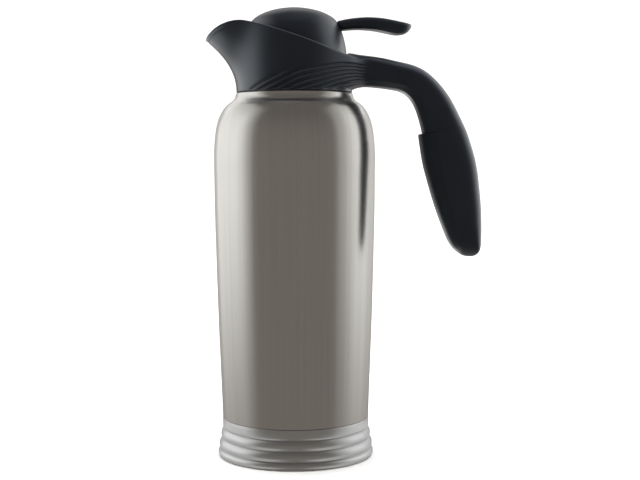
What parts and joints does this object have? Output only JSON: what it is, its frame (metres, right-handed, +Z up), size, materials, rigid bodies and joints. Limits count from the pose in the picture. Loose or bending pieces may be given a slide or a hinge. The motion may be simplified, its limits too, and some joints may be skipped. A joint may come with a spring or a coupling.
{
  "type": "thermal carafe",
  "caption": "Vacuum-walled steel jug with a screw-on black pouring head, a spring-closed flip lid with a thumb lever, and a curved side handle.",
  "frame": {"origin": "centre of the foot pad's underside, where the carafe stands", "axes": "+Z up along the body's axis, +X from the spout towards the handle, +Y to the left seen from the spout's front towards the handle"},
  "size_m": [0.1905, 0.1112, 0.3095],
  "materials": {
    "brushed_steel": "satin, brushed round the body",
    "inner_steel": "satin",
    "foil": "bright foil",
    "glass_bead": "fused sealing bead",
    "getter_metal": "matt pressed powder",
    "polished_steel": "polished",
    "black_plastic": "satin moulded black",
    "foot_rubber": "matt",
    "silicone": "soft grey silicone",
    "soft_grip": "matt soft-touch black",
    "insert_plastic": "matt moulded black",
    "pin_steel": "turned",
    "spring_steel": "drawn wire",
    "foam": "open foam"
  },
  "bodies": {
    "flask": {"outer_shell": "brushed_steel", "inner_flask": "inner_steel", "foil_wrap": "foil", "shell_bottom": "inner_steel", "vacuum_seal": "glass_bead", "getter": "getter_metal", "base_ring": "polished_steel", "base_cup": "black_plastic", "foot_pad": "foot_rubber"},
    "neck_seal": {"mouth_gasket": "silicone"},
    "head": {"pour_head": "black_plastic", "grip_pad": "soft_grip", "neck_insert": "insert_plastic", "lid_spring": "spring_steel"},
    "lid": {"lid_dome": "black_plastic", "thumb_lever": "black_plastic", "lever_screws": "pin_steel", "lid_plug": "insert_plastic", "lid_seal": "silicone", "lid_foam": "foam", "hinge_pin": "pin_steel"}
  },
  "joints": [
    {"name": "head_rise", "type": "slide", "parent": "flask", "child": "neck_seal", "axis": [0, 0, 1], "range_m": [0, 0.009]},
    {"name": "head_turn", "type": "hinge", "parent": "neck_seal", "child": "head", "pos_m": [0, 0, 0.2513], "axis": [0, 0, 1], "range_deg": [0, 540]},
    {"name": "lid_flip", "type": "hinge", "parent": "head", "child": "lid", "pos_m": [0.04, 0, 0.2744], "axis": [0, 1, 0], "range_deg": [0, 26], "stiffness_Nm_per_rad": 0.08, "springref_deg": -45.84, "deforming": ["lid_spring"]}
  ],
  "couplings": [
    {"joint": "head_rise", "follows": "head_turn", "m_per_rad": 0.0009549}
  ]
}
